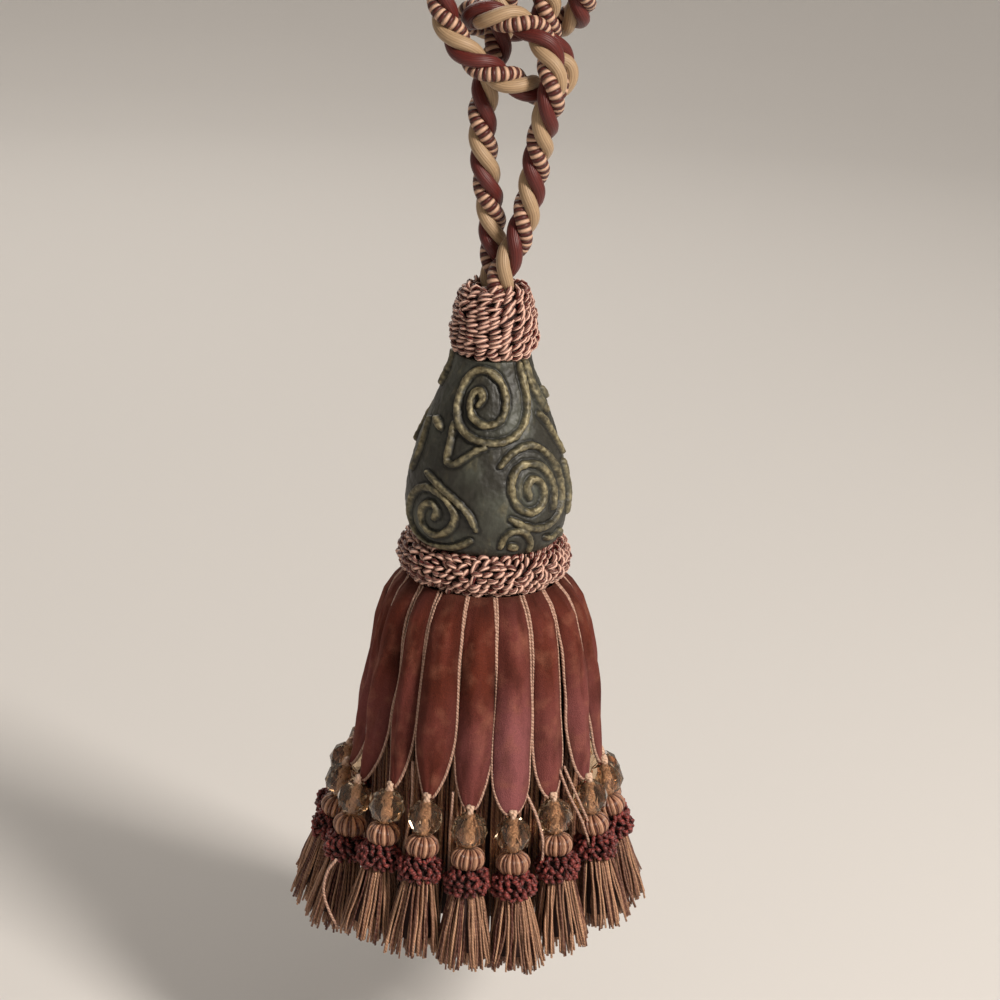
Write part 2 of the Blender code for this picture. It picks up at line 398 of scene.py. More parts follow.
@dataclass(frozen=True)
class GlassFinish:
    """Clear glass with a champagne tint."""

    name: str = "champagne glass"
    tint: Colour = dye(234, 208, 178)
    shadow: Colour = dye(204, 174, 142)

    def material(self) -> bpy.types.Material:
        """The material: bright, faintly smeared by handling."""
        bench = Bench(self.name)
        smear = bench.noise(bench.here(), 240.0, 3.0)
        return bench.finish(
            base_color=bench.between(smear, self.tint, self.shadow),
            transmission_weight=0.97,
            ior=1.45,
            roughness=(smear * 0.05).held(),
        )


@dataclass(frozen=True)
class BackdropFinish:
    """Plain pale paper under and behind the tassel."""

    name: str = "pale paper"
    paper: Colour = dye(220, 216, 212)
    shaded: Colour = dye(210, 206, 202)

    def material(self) -> bpy.types.Material:
        """The material, matt, with the faintest unevenness."""
        bench = Bench(self.name)
        cloud = bench.noise(bench.here(), 1.2)
        colour = bench.between(cloud * 0.3, self.paper, self.shaded)
        return bench.finish(base_color=colour, roughness=0.9, specular_ior_level=0.2)


class Palette:
    """Every finish, made once."""

    def __init__(self) -> None:
        """Makes the materials."""
        satin = {"pairs": 9, "pitch": 0.03, "banding": 0.15, "depth": 0.1}
        self.tan_strand = YarnFinish(
            "satin tan strand", dye(186, 158, 124), dye(140, 108, 78), **satin,
            crease_shade=0.22, roughness=0.5, sheen=0.15,
        ).material()
        self.maroon_strand = YarnFinish(
            "satin maroon strand", dye(104, 34, 26), dye(62, 15, 12), **satin,
            crease_shade=0.25, roughness=0.46, sheen=0.1,
        ).material()
        self.striped_strand = YarnFinish(
            "striped gimp strand", dye(200, 160, 134), dye(76, 24, 18), pairs=0, pitch=1 / 2.3,
            banding=1.0, crease_shade=0.5, depth=0.5, roughness=0.5, sheen=0.05,
        ).material()
        self.loops = YarnFinish(
            "looped gimp", dye(236, 190, 170), dye(84, 20, 15), pairs=2, pitch=0.14,
            banding=0.8, crease_shade=0.5, depth=0.4, roughness=0.3, sheen=0.05,
        ).material()
        self.small_loops = YarnFinish(
            "maroon looped gimp", dye(150, 66, 60), dye(70, 18, 16), pairs=1, pitch=0.5,
            banding=0.35, crease_shade=0.5, depth=0.3, roughness=0.38, sheen=0.1,
        ).material()
        self.piping = YarnFinish(
            "pale piping", dye(206, 166, 144), dye(132, 84, 66), pairs=1, pitch=0.45,
            banding=0.3, crease_shade=0.45, depth=0.25, roughness=0.5, sheen=0.15,
        ).material()
        self.ribs = YarnFinish(
            "floss ribs", dye(212, 160, 128), dye(70, 20, 14), pairs=4, pitch=0.03,
            banding=0.3, crease_shade=0.3, depth=0.12, roughness=0.28, sheen=0.05,
        ).material()
        self.fringe = YarnFinish(
            "fringe yarn", dye(204, 156, 122), dye(82, 34, 24), pairs=1, pitch=0.5,
            banding=0.14, crease_shade=0.34, depth=0.2, roughness=0.4, sheen=0.05,
        ).material()
        self.bead_cord = YarnFinish(
            "cream bead cord", dye(222, 186, 160), dye(178, 132, 106), pairs=1, pitch=0.45,
            banding=0.2, crease_shade=0.3, depth=0.2, roughness=0.5, sheen=0.1,
        ).material()
        # The cores under the yarns, loops and ribs: a real packed core, made dark as painted shade
        # in the gaps between them.
        self.core = YarnFinish(
            "packed yarn in painted shade", dye(84, 40, 28), dye(46, 17, 12), pairs=1, pitch=0.5,
            banding=0.1, crease_shade=0.3, depth=0.2, roughness=0.8, sheen=0.0,
        ).material()
        self.gilt = GiltFinish().material()
        self.velvet = VelvetFinish().material()
        self.glass = GlassFinish().material()


# ---------------------------------------------------------------- shaping


def curve_through(points: Sequence[Vector], count: int) -> list[Vector]:
    """Evenly spaced points on a centripetal Catmull-Rom curve.

    Args:
        points: What the curve goes through.
        count: How many points to give.

    Returns:
        The points, the first and the last among them.
    """
    ends = [2 * points[0] - points[1], *points, 2 * points[-1] - points[-2]]
    fine = []
    for p0, p1, p2, p3 in zip(ends, ends[1:], ends[2:], ends[3:]):
        t1 = (p1 - p0).length ** 0.5
        t2 = t1 + (p2 - p1).length ** 0.5
        t3 = t2 + (p3 - p2).length ** 0.5
        for step in range(16):
            t = t1 + (t2 - t1) * step / 16
            a1 = p0.lerp(p1, t / t1)
            a2 = p1.lerp(p2, (t - t1) / (t2 - t1))
            a3 = p2.lerp(p3, (t - t2) / (t3 - t2))
            b1 = a1.lerp(a2, t / t2)
            b2 = a2.lerp(a3, (t - t1) / (t3 - t1))
            fine.append(b1.lerp(b2, (t - t1) / (t2 - t1)))
    fine.append(points[-1])
    return spaced(fine, count)


def spaced(line: Sequence[Vector], count: int) -> list[Vector]:
    """count points evenly spaced along a line of straight pieces."""
    places = np.array([tuple(spot) for spot in line])
    run = np.concatenate([[0.0], np.cumsum(np.linalg.norm(np.diff(places, axis=0), axis=1))])
    wanted = np.linspace(0.0, run[-1], count)
    columns = [np.interp(wanted, run, places[:, axis]) for axis in range(3)]
    return [Vector(spot) for spot in zip(*columns)]


def smooth_step(low: float, high: float, value: float) -> float:
    """0 below low and 1 above high, with no corner between."""
    share = min(1.0, max(0.0, (value - low) / (high - low)))
    return share * share * (3 - 2 * share)


def wobble(seed: float, where: float, rate: float) -> float:
    """A smooth random number from about -1 to 1 that changes along where."""
    return noise.noise(Vector((where * rate, seed * 7.31, seed * 1.7 + 0.5))) * 1.6


def pressed(turn: float) -> float:
    """How far the skirt's left side hangs flatter than the rest at this heading, in millimetres."""
    away = math.remainder(turn - math.radians(-84.0), 2 * math.pi) / math.radians(36.0)
    return 2.4 * math.exp(-away * away)


def around(radius: float, heading: float, height: float) -> Vector:
    """The point this far from Z and this high, its heading counted from the front."""
    return Vector((radius * math.sin(heading), -radius * math.cos(heading), height))


def meshed(shape: bmesh.types.BMesh, name: str, smooth: bool = True) -> bpy.types.Mesh:
    """The finished shape as a mesh."""
    mesh = bpy.data.meshes.new(name)
    shape.to_mesh(mesh)
    shape.free()
    if smooth:
        mesh.shade_smooth()
    return mesh


def paint(mesh: bpy.types.Mesh, name: str, values: Sequence[float]) -> None:
    """Gives each point of the mesh a number that a material reads."""
    mesh.attributes.new(name, "FLOAT", "POINT").data.foreach_set("value", values)


def new_piece(name: str, mesh: bpy.types.Mesh) -> bpy.types.Object:
    """An object of this mesh, in the scene."""
    piece = bpy.data.objects.new(name, mesh)
    bpy.context.scene.collection.objects.link(piece)
    return piece


def fitted(name: str, mesh: bpy.types.Mesh, slot: Slot, *nodes: str) -> bpy.types.Object:
    """Puts a mesh on the part as a piece.

    Args:
        name: The piece's name.
        mesh: Its mesh, with its finish on.
        slot: Its material slot; not used.
        nodes: The CAD nodes that it stands for.

    Returns:
        The piece.
    """
    piece = new_piece(name, mesh)
    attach(piece, "root")
    if nodes:
        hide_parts(*nodes)
    LOG.info("%s: %d faces", piece.name, len(piece.data.polygons))
    return piece


def box_of(node: str) -> tuple[Vector, Vector]:
    """A CAD node's lowest and highest corner, in millimetres."""
    low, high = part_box(node)
    return low / MM, high / MM


@dataclass(frozen=True)
class Outline:
    """A turned piece's outline, which can be walked by its length."""

    stations: tuple[Station, ...]
    smooth: int = 0

    def points(self) -> list[Vector]:
        """The outline in the XZ plane, rounded if smooth says how many points it gets."""
        line = [Vector((radius, 0.0, height)) for radius, height in self.stations]
        return curve_through(line, self.smooth) if self.smooth else line

    def length(self) -> float:
        """How far it runs."""
        line = self.points()
        return sum((b - a).length for a, b in zip(line, line[1:]))

    def walker(self) -> Callable[[float], tuple[Vector, Vector]]:
        """A function from a distance along the outline to the point and the outward normal."""
        line = spaced(self.points(), 160)
        span = self.length()

        def at(distance: float) -> tuple[Vector, Vector]:
            """The point and the normal at this distance."""
            place = min(max(distance / span, 0.0), 1.0) * (len(line) - 1)
            index = min(int(place), len(line) - 2)
            spot = line[index].lerp(line[index + 1], place - index)
            low, high = max(index - 2, 0), min(index + 3, len(line) - 1)
            way = (line[high] - line[low]).normalized()
            return spot, Vector((-way.z, 0.0, way.x))

        return at

    def spun(self, name: str, steps: int) -> bpy.types.Mesh:
        """The outline spun once round Z into a closed mesh."""
        shape = bmesh.new()
        verts = [shape.verts.new(spot * MM) for spot in self.points()]
        edges = [shape.edges.new(pair) for pair in zip(verts, verts[1:])]
        bmesh.ops.spin(
            shape, geom=verts + edges, cent=(0, 0, 0), axis=(0, 0, 1), angle=2 * math.pi,
            steps=steps, use_merge=True,
        )
        bmesh.ops.remove_doubles(shape, verts=shape.verts, dist=1e-6)
        bmesh.ops.recalc_face_normals(shape, faces=shape.faces)
        return meshed(shape, name)


@dataclass
class Strand:
    """One yarn: its line, how thick it is along that line, its shade and its finish."""

    line: list[Vector]
    widths: list[float]
    shade: float
    finish: int


@dataclass
class YarnMesh:
    """Many round yarns laid as bevelled curves and made one mesh, with a map and a shade."""

    name: str
    radius: float
    sides: int
    finishes: list[bpy.types.Material]
    strands: list[Strand] = field(default_factory=list)

    def lay(
        self,
        line: Sequence[Vector],
        shade: float,
        widths: Sequence[float] | None = None,
        finish: int = 0,
    ) -> None:
        """Adds a yarn.

        Args:
            line: Its points, in millimetres.
            shade: From 0, its deep colour, to 1, its pale one.
            widths: How thick it is at each point, as a share of the radius.
            finish: Which of the finishes it takes.
        """
        self.strands.append(Strand(list(line), list(widths or [1.0] * len(line)), shade, finish))

    def mesh(self, cores: Sequence[bpy.types.Mesh] = ()) -> bpy.types.Mesh:
        """Makes the mesh.

        Args:
            cores: Closed meshes that lie inside the yarns and take the last finish.

        Returns:
            One mesh, its ends closed.
        """
        curve = bpy.data.curves.new(self.name, "CURVE")
        curve.dimensions = "3D"
        curve.bevel_depth = self.radius * MM
        curve.bevel_resolution = (self.sides - 4) // 2
        for finish in self.finishes:
            curve.materials.append(finish)
        for strand in self.strands:
            spline = curve.splines.new("POLY")
            spline.points.add(len(strand.line) - 1)
            places = [part for spot in strand.line for part in (*(spot * MM), 1.0)]
            spline.points.foreach_set("co", places)
            spline.points.foreach_set("radius", strand.widths)
            spline.material_index = strand.finish
        holder = new_piece(self.name, curve)
        bpy.context.view_layer.update()
        mesh = bpy.data.meshes.new_from_object(holder)
        bpy.data.objects.remove(holder)
        bpy.data.curves.remove(curve)
        self.label(mesh)
        shape = bmesh.new()
        shape.from_mesh(mesh)
        rims = [edge for edge in shape.edges if edge.is_boundary]
        bmesh.ops.holes_fill(shape, edges=rims, sides=0)
        for core in cores:
            first = len(shape.faces)
            shape.from_mesh(core)
            shape.faces.ensure_lookup_table()
            for face in shape.faces[first:]:
                face.material_index = len(self.finishes) - 1
        shape.to_mesh(mesh)
        shape.free()
        mesh.shade_smooth()
        mesh.name = self.name
        return mesh

    def label(self, mesh: bpy.types.Mesh) -> None:
        """Gives the fresh mesh its length along each yarn, in its map, and each yarn's shade."""
        along, shades = [], []
        for strand in self.strands:
            run = 0.0
            for index, spot in enumerate(strand.line):
                run += (spot - strand.line[index - 1]).length if index else 0.0
                along.extend([run] * self.sides)
            shades.extend([strand.shade] * (self.sides * len(strand.line)))
        corners = np.empty(len(mesh.loops), np.int32)
        mesh.loops.foreach_get("vertex_index", corners)
        map_layer = mesh.uv_layers[0]
        places = np.empty(len(mesh.loops) * 2, np.float32)
        map_layer.data.foreach_get("uv", places)
        places = places.reshape(-1, 2)
        places[:, 0] = np.array(along, np.float32)[corners]
        map_layer.data.foreach_set("uv", places.ravel())
        paint(mesh, "shade", shades)


# ---------------------------------------------------------------- rope


@dataclass
class HangingRope:
    """Three-strand twisted rope: tan, maroon and striped, knotted above the cap."""

    palette: Palette
    diameter: float = 9.2
    length: float = 562.5
    strand_radius: float = 2.28
    strand_ring: float = 2.36
    lay_length: float = 23.5
    phase: float = 30.0
    points: int = 720
    knot_level: float = -95.0
    # From the foot of the left leg, up through the knot, round the loop and down the right leg.
    route: tuple[tuple[float, float, float], ...] = (
        (-0.8, 4.95, -81.5), (-0.8, 4.95, -76.0), (-1.3, 4.2, -66.5), (-2.6, 2.6, -55.0),
        (-4.6, 1.0, -43.0), (-6.2, 0.4, -31.0), (-6.8, 1.0, -21.0), (-5.6, 2.4, -11.5),
        (-3.2, 3.4, -2.5), (-2.0, 3.4, 7.0), (-1.7, 2.6, 15.5), (0.3, 1.8, 20.4),
        (4.9, 1.2, 22.3), (9.5, 1.8, 20.4), (11.5, 3.0, 14.5), (11.6, 4.2, 6.0),
        (14.4, 5.6, -1.0), (18.4, 5.4, -7.6), (15.6, 2.4, -14.2), (9.6, -2.4, -13.8),
        (4.2, -6.8, -11.2), (-2.0, -9.4, -8.4), (-10.2, -9.4, -4.0), (-16.6, -8.2, 3.0),
        (-20.6, -6.6, 12.0), (-19.2, -4.6, 23.0), (-13.6, -2.8, 34.0), (-9.6, -1.2, 45.0),
        (-12.6, -0.3, 56.0), (-18.6, 0.0, 66.5), (-16.8, 0.0, 79.0), (-9.4, 0.0, 87.6),
        (0.0, 0.0, 90.4), (9.4, 0.0, 87.6), (16.8, 0.0, 79.0), (18.6, 0.0, 66.5),
        (12.4, 0.0, 56.0), (9.0, 0.0, 45.0), (12.0, -0.4, 34.5), (18.0, -0.2, 26.0),
        (22.2, 3.0, 17.0), (21.4, 9.4, 8.6), (14.6, 14.2, 4.8), (5.4, 14.6, 3.4),
        (-4.0, 13.6, 3.2), (-11.0, 8.4, 5.4), (-11.4, 0.4, 8.4), (-6.8, -7.2, 9.4),
        (1.2, -8.8, 8.6), (8.8, -8.4, 5.2), (13.4, -9.6, -2.5), (14.6, -11.8, -12.5),
        (12.9, -8.8, -22.0), (11.4, -5.0, -31.5), (10.2, -3.0, -42.0), (8.4, -2.9, -53.0),
        (5.6, -3.8, -63.0), (2.4, -4.7, -70.0), (1.0, -4.95, -76.5), (1.0, -4.95, -81.5),
    )

    def middle(self) -> list[Vector]:
        """The rope's middle line."""
        lift = Vector((0.0, 0.0, self.knot_level))
        return curve_through([Vector(spot) + lift for spot in self.route], self.points)

    def twisted(self, line: list[Vector], start: float) -> list[Vector]:
        """One strand's line, wound round the rope's middle.

        Args:
            line: The rope's middle line.
            start: Where round the rope the strand begins, in radians.

        Returns:
            The strand's line.
        """
        side = Vector((1.0, 0.0, 0.0))
        run, wound = 0.0, []
        for index, spot in enumerate(line):
            before, after = line[max(index - 1, 0)], line[min(index + 1, len(line) - 1)]
            way = (after - before).normalized()
            side = (side - way * side.dot(way)).normalized()
            run += (spot - before).length
            turn = start - 2 * math.pi * run / self.lay_length
            arm = math.cos(turn) * side + math.sin(turn) * way.cross(side)
            wound.append(spot + self.strand_ring * arm)
        return wound

    def build(self) -> bpy.types.Object:
        middle = self.middle()
        palette = self.palette
        finishes = [palette.striped_strand, palette.tan_strand, palette.maroon_strand]
        yarn = YarnMesh("rope", self.strand_radius, 12, finishes)
        for index in range(3):
            start = math.radians(self.phase - 120 * index)
            yarn.lay(self.twisted(middle, start), 0.55, finish=index)
        rope = fitted("rope", yarn.mesh(), Slot.ROPE, "hanging_rope")
        return rope


# ---------------------------------------------------------------- looped gimp


@dataclass
class LoopedGimp:
    """Rows of short loops of twisted gimp, standing out from an outline turned round Z."""

    outline: Outline
    loop: float
    bulge: float
    row_gap: float
    column_gap: float
    # Degrees that the loops lie off level, on average, more at the sides, and at random.
    tilt: float
    lean: float
    scatter: float
    pale_share: float
    points: int = 6
    stagger: float = 0.5

    def lay(self, yarn: YarnMesh, place: Matrix, dice: random.Random) -> None:
        """Covers the outline with loops.

        Args:
            yarn: The mesh that takes them.
            place: Where the outline's own frame stands, in millimetres.
            dice: What varies them.
        """
        at = self.outline.walker()
        span = self.outline.length()
        rows = max(2, round(span / self.row_gap))
        shares = [2 * index / (self.points - 1) - 1 for index in range(self.points)]
        for row in range(rows):
            middle = span * (row + 0.5) / rows
            spot, _ = at(middle)
            columns = max(5, round(2 * math.pi * spot.x / self.column_gap))
            for column in range(columns):
                step = column + self.stagger * (row % 2) + dice.uniform(-0.22, 0.22)
                turn = 2 * math.pi * step / columns
                slope = self.tilt + self.lean * math.sin(turn) + dice.gauss(0.0, self.scatter)
                tilt = math.radians(slope)
                lift = dice.uniform(-0.6, 0.45) * self.bulge
                reach = self.loop * dice.uniform(0.75, 1.15) / 2
                line = []
                for share in shares:
                    spot, out = at(middle + share * reach * math.sin(tilt))
                    angle = turn + share * reach * math.cos(tilt) / max(spot.x, 2.0)
                    rise = self.bulge * (1 - 1.7 * share * share) + lift
                    radius = spot.x + out.x * rise
                    line.append(place @ around(radius, angle, spot.z + out.z * rise))
                pale = dice.random() < self.pale_share
                shade = dice.uniform(0.6, 1.0) if pale else dice.uniform(0.0, 0.45)
                thick = dice.uniform(0.82, 1.12)
                yarn.lay(line, shade, [thick * (1 - 0.55 * abs(share) ** 3) for share in shares])


@dataclass
class GimpTrim:
    """The looped cap round the rope's foot, and the looped ruff under the mould."""

    palette: Palette
    cap_inner: float = 9.6
    cap_depth: float = 5.4
    ruff_core: float = 5.2

    def cap(self, dice: random.Random) -> None:
        """The cap: a core turned to the CAD cap's size, dark as painted shade, under rows of long
        loops.
        """
        low, high = box_of("neck_cap")
        radius, top, foot = high.x, high.z, low.z
        core = Outline((
            (0.0, top - self.cap_depth), (self.cap_inner, top - self.cap_depth),
            (radius - 4.6, top - 2.0), (radius - 3.6, top - 5.0), (radius - 2.3, top - 10.0),
            (radius - 1.6, top - 15.5), (radius - 2.2, foot + 1.2), (radius - 3.0, foot + 0.2),
            (0.0, foot + 0.2),
        ))
        cover = Outline((
            (radius - 6.4, top - 3.4), (radius - 5.0, top - 0.6), (radius - 3.6, top - 2.2),
            (radius - 2.1, top - 6.0), (radius - 1.0, top - 11.0), (radius - 0.3, top - 16.2),
            (radius - 0.6, top - 19.8), (radius - 2.0, foot + 0.6),
        ), smooth=60)
        gimp = LoopedGimp(
            cover, loop=5.4, bulge=1.0, row_gap=1.45, column_gap=4.0, tilt=-16.0, lean=-22.0,
            scatter=14.0, pale_share=0.4, stagger=0.15,
        )
        self.trimmed("cap", core, 40, "neck_cap", gimp, 0.8, dice)

    def ruff(self, dice: random.Random) -> None:
        """The ruff: a ring, dark as painted shade, under many short loops."""
        low, high = box_of("base_ruff")
        tube = (high.z - low.z) / 2
        ring, level = high.x - tube, (high.z + low.z) / 2

        def arc(radius: float, degrees: Sequence[float]) -> Outline:
            """The tube's outline at this radius, through these turns."""
            turns = [math.radians(turn) for turn in degrees]
            return Outline(tuple(
                (ring + radius * math.cos(turn), level + radius * math.sin(turn)) for turn in turns
            ))

        cover = arc(tube - 0.5, [112 - 224 * step / 20 for step in range(21)])
        core = arc(self.ruff_core, [360 * step / 16 for step in range(17)])
        gimp = LoopedGimp(
            cover, loop=4.2, bulge=1.1, row_gap=1.75, column_gap=3.3, tilt=-14.0, lean=-22.0,
            scatter=22.0, pale_share=0.42,
        )
        self.trimmed("ruff", core, 48, "base_ruff", gimp, 0.9, dice)

    def trimmed(
        self,
        name: str,
        core: Outline,
        steps: int,
        node: str,
        gimp: LoopedGimp,
        thick: float,
        dice: random.Random,
    ) -> None:
        """Makes a trim's core, which stands for the CAD node, and the loops over it.

        Args:
            name: The core's name.
            core: Its outline.
            steps: How many sides it has round Z.
            node: The CAD node.
            gimp: The loops.
            thick: Their yarn's radius.
            dice: What varies them.
        """
        yarn = YarnMesh(f"{name}_loops", thick, 6, [self.palette.loops])
        gimp.lay(yarn, Matrix(), dice)
        mesh = core.spun(name, steps)
        mesh.materials.append(self.palette.core)
        fitted(name, mesh, Slot.GIMP, node)
        fitted(yarn.name, yarn.mesh(), Slot.GIMP)


# ---------------------------------------------------------------- mould


@dataclass(frozen=True)
class Scroll:
    """A raised line laid on the mould: stations of heading in degrees and drop from its top."""

    stations: tuple[Station, ...]
    width: float = 1.0


# The front's scrolls, from the left round to the right.
SCROLLS = (
    Scroll(((-92.0, 0.4), (-90.0, 3.6), (-87.0, 7.4), (-84.0, 10.0)), 1.9),
    Scroll(((-72.0, 21.5), (-69.0, 27.0), (-68.5, 33.0), (-72.0, 38.4)), 0.8),
    Scroll(((-60.0, 20.4), (-54.0, 21.2), (-49.0, 22.4)), 1.25),
    Scroll((
        (-38.0, 50.8), (-35.5, 48.2), (-39.5, 46.0), (-46.0, 46.8), (-50.5, 50.0), (-49.0, 54.0),
        (-42.0, 56.6), (-32.0, 55.8), (-24.0, 52.4), (-21.5, 48.0), (-27.0, 44.4), (-37.0, 41.9),
        (-48.0, 41.4), (-58.0, 43.6), (-65.0, 48.2), (-67.0, 53.6), (-62.0, 58.2), (-50.0, 60.6),
        (-36.0, 61.0), (-22.0, 59.6), (-10.0, 56.4),
    )),
    Scroll((
        (-50.0, 36.8), (-40.0, 39.0), (-30.0, 41.2), (-19.0, 44.2), (-11.0, 47.8), (-6.0, 52.4),
    ), 0.9),
    Scroll((
        (-35.0, 19.6), (-34.6, 23.0), (-34.2, 27.4), (-33.6, 31.6), (-28.0, 32.2), (-20.0, 30.0),
        (-11.0, 27.2), (-3.0, 25.9),
    ), 0.9),
    Scroll((
        (-13.0, 13.4), (-9.0, 11.2), (-13.0, 8.8), (-19.5, 9.6), (-22.0, 13.2), (-17.0, 17.0),
        (-4.0, 19.2), (10.0, 17.6), (17.0, 12.4), (12.0, 6.2), (-4.0, 3.0), (-20.0, 3.0),
        (-32.0, 5.4), (-37.0, 10.4), (-35.0, 16.0), (-27.0, 20.8), (-12.0, 23.8), (6.0, 24.4),
        (23.0, 22.6), (36.0, 18.2), (43.0, 12.0), (44.0, 5.4), (41.0, 1.0),
    )),
    Scroll(((54.0, 0.6), (57.0, 4.4), (60.0, 9.0), (66.0, 13.4), (72.0, 17.0)), 1.5),
    Scroll(((80.0, 10.8), (84.0, 12.6), (88.0, 13.6)), 1.4),
    Scroll((
        (32.0, 42.0), (30.5, 38.6), (35.0, 36.2), (41.5, 37.2), (45.0, 41.0), (42.0, 45.2),
        (34.5, 46.8), (25.0, 45.2), (19.0, 40.8), (18.8, 35.8), (24.0, 32.2), (33.0, 31.2),
        (44.0, 32.4), (52.0, 36.0), (56.0, 41.4), (54.0, 47.0),
    ), 1.05),
    Scroll((
        (10.0, 31.4), (19.0, 27.8), (30.0, 25.9), (41.0, 26.0), (52.0, 28.6), (61.0, 33.2),
        (66.0, 39.6), (65.0, 46.4), (57.0, 51.4), (44.0, 53.0), (30.0, 51.6), (18.0, 48.4),
    )),
    Scroll((
        (12.0, 58.4), (14.5, 54.6), (20.5, 52.8), (28.5, 53.4), (34.5, 56.8), (36.0, 61.0),
    ), 0.9),
    Scroll(((20.0, 58.2), (23.0, 58.8)), 1.5),
    Scroll(((48.0, 56.8), (57.0, 58.0), (66.0, 56.6), (73.0, 59.6)), 0.8),
    Scroll(((80.0, 34.8), (84.0, 40.4), (85.0, 46.0), (82.0, 52.0)), 1.7),
    Scroll(((56.0, 17.0), (66.0, 21.0), (75.0, 27.0), (83.0, 32.0)), 1.0),
)
# The back repeats the larger ones, turned half round.
BACK_SCROLLS = (3, 4, 5, 6, 9, 10, 11, 13, 15)
BACK_TURN = 178.0


@dataclass
class Mould:
    """The turned mould, with its scrolls laid on as cords of paste."""

    palette: Palette
    # Radius and drop from the mould's top.
    stations: tuple[Station, ...] = (
        (12.4, 0.3), (13.6, 4.7), (16.0, 10.2), (18.4, 16.2), (21.0, 23.4), (23.5, 30.7),
        (25.6, 38.7), (26.7, 46.2), (26.7, 52.7), (25.9, 57.7), (24.6, 61.2), (23.0, 62.6),
    )
    foot: float = 75.5
    foot_radius: float = 14.0
    half_width: float = 1.25
    height: float = 1.5
    groove: float = 0.4
    # The scrolls and the uneven ground stay between these drops, and outside this radius.
    relief_top: float = 0.05
    relief_foot: float = 62.8
    relief_inner: float = 9.0
    rings: int = 190
    steps: int = 340

    def radius_at(self) -> Callable[[float], float]:
        """A function from a drop from the top to the radius there."""
        line = curve_through([Vector((radius, 0.0, -drop)) for radius, drop in self.stations], 400)
        drops = [-spot.z for spot in line]
        radii = [spot.x for spot in line]
        return lambda drop: float(np.interp(drop, drops, radii))

    def scrolls(self) -> list[Scroll]:
        """Every scroll, front and back."""
        back = []
        for scroll in (SCROLLS[index] for index in BACK_SCROLLS):
            turned = tuple((heading + BACK_TURN, drop) for heading, drop in scroll.stations)
            back.append(Scroll(turned, scroll.width))
        return [*SCROLLS, *back]

    def traced(self, top: float) -> tuple[KDTree, list[float]]:
        """The scrolls as points on the surface.

        Args:
            top: The height of the mould's top.

        Returns:
            A tree of the points, and each point's own half width.
        """
        radius_at = self.radius_at()
        spots, widths = [], []
        for number, scroll in enumerate(self.scrolls()):
            rough = [
                around(radius_at(drop), math.radians(heading), top - drop)
                for heading, drop in scroll.stations
            ]
            line = curve_through(rough, 12 * len(rough)) if len(rough) > 2 else spaced(rough, 8)
            for index, spot in enumerate(line):
                end = min(1.0, min(index, len(line) - 1 - index) / 6)
                swell = 1 + 0.16 * wobble(number, index, 0.21)
                spots.append(spot)
                widths.append(self.half_width * scroll.width * swell * (0.72 + 0.28 * end))
        tree = KDTree(len(spots))
        for index, spot in enumerate(spots):
            tree.insert(spot, index)
        tree.balance()
        return tree, widths

    def relief(self, spot: Vector, gap: float, width: float) -> tuple[float, float, float]:
        """How the surface stands at a point.

        Args:
            spot: The point on the turned surface.
            gap: How far it is from the nearest scroll's middle.
            width: That scroll's half width there.

        Returns:
            The rise in millimetres, the share of ridge and the share of groove, where the gilt
            paints shade.
        """
        share = max(0.0, gap / width + 0.07 * noise.noise(spot * 0.7 + Vector((9.0, 0.0, 0.0))))
        crown = max(0.0, 1 - share**2.6) ** 0.6
        sunk = math.exp(-(((gap - width - 0.35) / 0.42) ** 2))
        grain = 0.7 * noise.noise(spot * 0.9)
        rise = crown * self.height * (1 + 0.16 * grain) - sunk * self.groove
        for depth, rate in ((0.22, 0.3), (0.14, 0.8), (0.05, 1.9)):
            rise += depth * noise.noise(spot * rate)
        ridge = smooth_step(0.25, 0.75, crown)
        return rise, ridge, sunk * (1 - smooth_step(0.1, 0.6, crown))

    def build(self) -> bpy.types.Object:
        """Spins the outline, then raises the scrolls, sinks the line round them and marks that line
        for painted shade.
        """
        _, high = box_of("mould")
        top = high.z
        whole = [Vector((radius, 0.0, top - drop)) for radius, drop in self.stations]
        body = spaced(curve_through(whole, 400), self.rings)
        outline = Outline((
            (0.0, top), (self.stations[0][0] - 1.0, top), *((spot.x, spot.z) for spot in body),
            (self.foot_radius, top - 63.0), (self.foot_radius, top - self.foot),
            (0.0, top - self.foot),
        ))
        mesh = outline.spun("mould_gilt", self.steps)
        tree, widths = self.traced(top)
        ridges, groove_shades = [], []
        for vertex in mesh.vertices:
            spot = vertex.co / MM
            radial = math.hypot(spot.x, spot.y)
            ridge = groove = 0.0
            if radial >= self.relief_inner and self.relief_top <= top - spot.z <= self.relief_foot:
                _, index, gap = tree.find(spot)
                rise, ridge, groove = self.relief(spot, gap, widths[index])
                out = Vector((spot.x, spot.y, 0.25 * radial)).normalized()
                vertex.co = (spot + out * rise) * MM
            ridges.append(ridge)
            groove_shades.append(groove)
        paint(mesh, "ridge", ridges)
        paint(mesh, "groove", groove_shades)
        mesh.materials.append(self.palette.gilt)
        return fitted("mould_gilt", mesh, Slot.MOULD, "mould")


# ---------------------------------------------------------------- skirt


